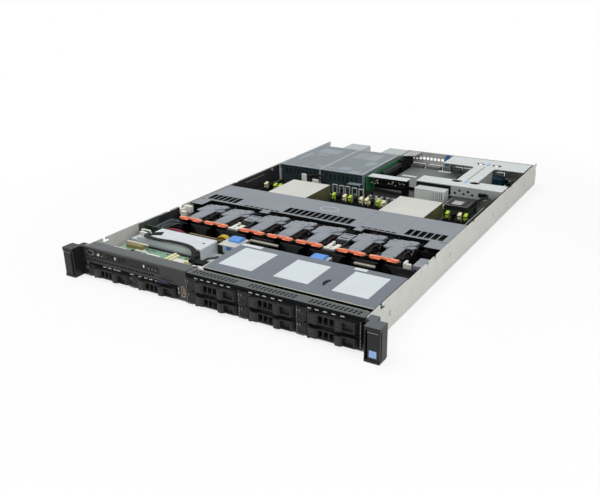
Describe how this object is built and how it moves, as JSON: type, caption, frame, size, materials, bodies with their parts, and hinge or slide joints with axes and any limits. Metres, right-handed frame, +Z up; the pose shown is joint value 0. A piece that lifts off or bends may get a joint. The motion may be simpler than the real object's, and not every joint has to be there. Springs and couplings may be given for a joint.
{
  "type": "rack server",
  "caption": "One-unit rack server with its top cover off: drive carriers, fan modules, air shroud, mainboard with heatsinks, riser cage and power supplies in a steel tray",
  "frame": {"origin": "middle of the underside of the whole box, on the surface it stands on", "axes": "X to the right seen from the front, the front faces -Y, Z up"},
  "size_m": [0.4824, 0.736, 0.0428],
  "materials": {
    "galvanised_steel": "galvanised sheet, satin",
    "dark_steel": "dark coated sheet",
    "slate_paint": "satin blue-grey paint",
    "slate_plastic": "moulded, fine texture",
    "black_plastic": "moulded, fine texture",
    "blue_plastic": "moulded",
    "orange_plastic": "moulded",
    "green_plastic": "moulded",
    "pale_plastic": "moulded, slightly clear",
    "circuit_board": "solder mask with components",
    "heatsink_metal": "plain plate and fins",
    "connector_metal": "stamped shells",
    "psu_steel": "sheet case",
    "drive_metal": "cast case in a dark sled",
    "fan_plastic": "moulded",
    "rotor_plastic": "moulded",
    "cable_sleeve": "smooth jacket"
  },
  "bodies": {
    "root": {"chassis_tray": "galvanised_steel", "drive_cage": "galvanised_steel", "drive_covers": "slate_paint", "front_fascia": "black_plastic", "backplanes": "circuit_board", "backplane_releases": "blue_plastic", "control_board": "circuit_board", "media_tray": "galvanised_steel", "fan_wall": "dark_steel", "mainboard": "circuit_board", "memory_latches": "green_plastic", "heatsinks": "heatsink_metal", "psu_cage": "slate_paint", "riser_cage": "galvanised_steel", "riser_boards": "circuit_board", "network_card": "dark_steel", "controller_card": "black_plastic", "ribbed_cover": "pale_plastic", "rear_ports": "connector_metal", "cables": "cable_sleeve", "rack_ears": "black_plastic"},
    "air_shroud": {"air_shroud": "slate_plastic"},
    "latch_right": {"latch_right": "black_plastic"},
    "latch_left": {"latch_left": "black_plastic"},
    "power_button": {"power_button": "black_plastic"},
    "info_tag": {"info_tag": "blue_plastic"},
    "psu_1": {"psu_1": "psu_steel"},
    "psu_release_1": {"psu_release_1": "orange_plastic"},
    "psu_2": {"psu_2": "psu_steel"},
    "psu_release_2": {"psu_release_2": "orange_plastic"},
    "drive_1": {"drive_1": "drive_metal"},
    "drive_handle_1": {"drive_handle_1": "black_plastic"},
    "drive_2": {"drive_2": "drive_metal"},
    "drive_handle_2": {"drive_handle_2": "black_plastic"},
    "drive_3": {"drive_3": "drive_metal"},
    "drive_handle_3": {"drive_handle_3": "black_plastic"},
    "drive_4": {"drive_4": "drive_metal"},
    "drive_handle_4": {"drive_handle_4": "black_plastic"},
    "drive_5": {"drive_5": "drive_metal"},
    "drive_handle_5": {"drive_handle_5": "black_plastic"},
    "drive_6": {"drive_6": "drive_metal"},
    "drive_handle_6": {"drive_handle_6": "black_plastic"},
    "drive_7": {"drive_7": "drive_metal"},
    "drive_handle_7": {"drive_handle_7": "black_plastic"},
    "drive_8": {"drive_8": "drive_metal"},
    "drive_handle_8": {"drive_handle_8": "black_plastic"},
    "fan_1": {"fan_1": "fan_plastic"},
    "fan_rotor_1": {"fan_rotor_1": "rotor_plastic"},
    "fan_2": {"fan_2": "fan_plastic"},
    "fan_rotor_2": {"fan_rotor_2": "rotor_plastic"},
    "fan_3": {"fan_3": "fan_plastic"},
    "fan_rotor_3": {"fan_rotor_3": "rotor_plastic"},
    "fan_4": {"fan_4": "fan_plastic"},
    "fan_rotor_4": {"fan_rotor_4": "rotor_plastic"},
    "fan_5": {"fan_5": "fan_plastic"},
    "fan_rotor_5": {"fan_rotor_5": "rotor_plastic"},
    "fan_6": {"fan_6": "fan_plastic"},
    "fan_rotor_6": {"fan_rotor_6": "rotor_plastic"},
    "fan_7": {"fan_7": "fan_plastic"},
    "fan_rotor_7": {"fan_rotor_7": "rotor_plastic"}
  },
  "joints": [
    {"name": "shroud_lift", "type": "slide", "parent": "root", "child": "air_shroud", "axis": [0, 0, 1], "range_m": [0, 0.06]},
    {"name": "latch_right_turn", "type": "hinge", "parent": "root", "child": "latch_right", "pos_m": [0.2262, -0.362, 0.0214], "axis": [0, 0, -1], "range_deg": [0, 20], "stiffness_Nm_per_rad": 0.3},
    {"name": "latch_left_turn", "type": "hinge", "parent": "root", "child": "latch_left", "pos_m": [-0.2262, -0.362, 0.0214], "axis": [0, 0, 1], "range_deg": [0, 20], "stiffness_Nm_per_rad": 0.3},
    {"name": "power_press", "type": "slide", "parent": "root", "child": "power_button", "axis": [0, 1, 0], "range_m": [0, 0.0012], "stiffness_N_per_m": 800},
    {"name": "tag_pull", "type": "slide", "parent": "root", "child": "info_tag", "axis": [0, -1, 0], "range_m": [0, 0.06]},
    {"name": "psu_1_pull", "type": "slide", "parent": "root", "child": "psu_1", "axis": [0, 1, 0], "range_m": [0, 0.12]},
    {"name": "psu_release_1_turn", "type": "hinge", "parent": "psu_1", "child": "psu_release_1", "pos_m": [-0.2091, 0.3174, 0.0155], "axis": [0, 0, -1], "range_deg": [0, 10], "stiffness_Nm_per_rad": 0.2},
    {"name": "psu_2_pull", "type": "slide", "parent": "root", "child": "psu_2", "axis": [0, 1, 0], "range_m": [0, 0.12]},
    {"name": "psu_release_2_turn", "type": "hinge", "parent": "psu_2", "child": "psu_release_2", "pos_m": [-0.1213, 0.3174, 0.0155], "axis": [0, 0, -1], "range_deg": [0, 10], "stiffness_Nm_per_rad": 0.2},
    {"name": "drive_1_pull", "type": "slide", "parent": "root", "child": "drive_1", "axis": [0, -1, 0], "range_m": [0, 0.095]},
    {"name": "drive_handle_1_swing", "type": "hinge", "parent": "drive_1", "child": "drive_handle_1", "pos_m": [-0.1958, -0.3542, 0.0098], "axis": [0, 0, -1], "range_deg": [0, 60]},
    {"name": "drive_2_pull", "type": "slide", "parent": "root", "child": "drive_2", "axis": [0, -1, 0], "range_m": [0, 0.095]},
    {"name": "drive_handle_2_swing", "type": "hinge", "parent": "drive_2", "child": "drive_handle_2", "pos_m": [-0.1141, -0.3542, 0.0098], "axis": [0, 0, -1], "range_deg": [0, 60]},
    {"name": "drive_3_pull", "type": "slide", "parent": "root", "child": "drive_3", "axis": [0, -1, 0], "range_m": [0, 0.095]},
    {"name": "drive_handle_3_swing", "type": "hinge", "parent": "drive_3", "child": "drive_handle_3", "pos_m": [-0.0172, -0.3542, 0.028], "axis": [0, 0, -1], "range_deg": [0, 60]},
    {"name": "drive_4_pull", "type": "slide", "parent": "root", "child": "drive_4", "axis": [0, -1, 0], "range_m": [0, 0.095]},
    {"name": "drive_handle_4_swing", "type": "hinge", "parent": "drive_4", "child": "drive_handle_4", "pos_m": [-0.0172, -0.3542, 0.0098], "axis": [0, 0, -1], "range_deg": [0, 60]},
    {"name": "drive_5_pull", "type": "slide", "parent": "root", "child": "drive_5", "axis": [0, -1, 0], "range_m": [0, 0.095]},
    {"name": "drive_handle_5_swing", "type": "hinge", "parent": "drive_5", "child": "drive_handle_5", "pos_m": [0.0645, -0.3542, 0.028], "axis": [0, 0, -1], "range_deg": [0, 60]},
    {"name": "drive_6_pull", "type": "slide", "parent": "root", "child": "drive_6", "axis": [0, -1, 0], "range_m": [0, 0.095]},
    {"name": "drive_handle_6_swing", "type": "hinge", "parent": "drive_6", "child": "drive_handle_6", "pos_m": [0.0645, -0.3542, 0.0098], "axis": [0, 0, -1], "range_deg": [0, 60]},
    {"name": "drive_7_pull", "type": "slide", "parent": "root", "child": "drive_7", "axis": [0, -1, 0], "range_m": [0, 0.095]},
    {"name": "drive_handle_7_swing", "type": "hinge", "parent": "drive_7", "child": "drive_handle_7", "pos_m": [0.1462, -0.3542, 0.028], "axis": [0, 0, -1], "range_deg": [0, 60]},
    {"name": "drive_8_pull", "type": "slide", "parent": "root", "child": "drive_8", "axis": [0, -1, 0], "range_m": [0, 0.095]},
    {"name": "drive_handle_8_swing", "type": "hinge", "parent": "drive_8", "child": "drive_handle_8", "pos_m": [0.1462, -0.3542, 0.0098], "axis": [0, 0, -1], "range_deg": [0, 60]},
    {"name": "fan_1_lift", "type": "slide", "parent": "root", "child": "fan_1", "axis": [0, 0, 1], "range_m": [0, 0.045]},
    {"name": "fan_rotor_1_spin", "type": "hinge", "parent": "fan_1", "child": "fan_rotor_1", "pos_m": [-0.1637, -0.165, 0.0212], "axis": [0, 1, 0], "continuous": true},
    {"name": "fan_2_lift", "type": "slide", "parent": "root", "child": "fan_2", "axis": [0, 0, 1], "range_m": [0, 0.045]},
    {"name": "fan_rotor_2_spin", "type": "hinge", "parent": "fan_2", "child": "fan_rotor_2", "pos_m": [-0.1155, -0.165, 0.0212], "axis": [0, 1, 0], "continuous": true},
    {"name": "fan_3_lift", "type": "slide", "parent": "root", "child": "fan_3", "axis": [0, 0, 1], "range_m": [0, 0.045]},
    {"name": "fan_rotor_3_spin", "type": "hinge", "parent": "fan_3", "child": "fan_rotor_3", "pos_m": [-0.05, -0.165, 0.0212], "axis": [0, 1, 0], "continuous": true},
    {"name": "fan_4_lift", "type": "slide", "parent": "root", "child": "fan_4", "axis": [0, 0, 1], "range_m": [0, 0.045]},
    {"name": "fan_rotor_4_spin", "type": "hinge", "parent": "fan_4", "child": "fan_rotor_4", "pos_m": [-0.0018, -0.165, 0.0212], "axis": [0, 1, 0], "continuous": true},
    {"name": "fan_5_lift", "type": "slide", "parent": "root", "child": "fan_5", "axis": [0, 0, 1], "range_m": [0, 0.045]},
    {"name": "fan_rotor_5_spin", "type": "hinge", "parent": "fan_5", "child": "fan_rotor_5", "pos_m": [0.0464, -0.165, 0.0212], "axis": [0, 1, 0], "continuous": true},
    {"name": "fan_6_lift", "type": "slide", "parent": "root", "child": "fan_6", "axis": [0, 0, 1], "range_m": [0, 0.045]},
    {"name": "fan_rotor_6_spin", "type": "hinge", "parent": "fan_6", "child": "fan_rotor_6", "pos_m": [0.1119, -0.165, 0.0212], "axis": [0, 1, 0], "continuous": true},
    {"name": "fan_7_lift", "type": "slide", "parent": "root", "child": "fan_7", "axis": [0, 0, 1], "range_m": [0, 0.045]},
    {"name": "fan_rotor_7_spin", "type": "hinge", "parent": "fan_7", "child": "fan_rotor_7", "pos_m": [0.1601, -0.165, 0.0212], "axis": [0, 1, 0], "continuous": true}
  ]
}
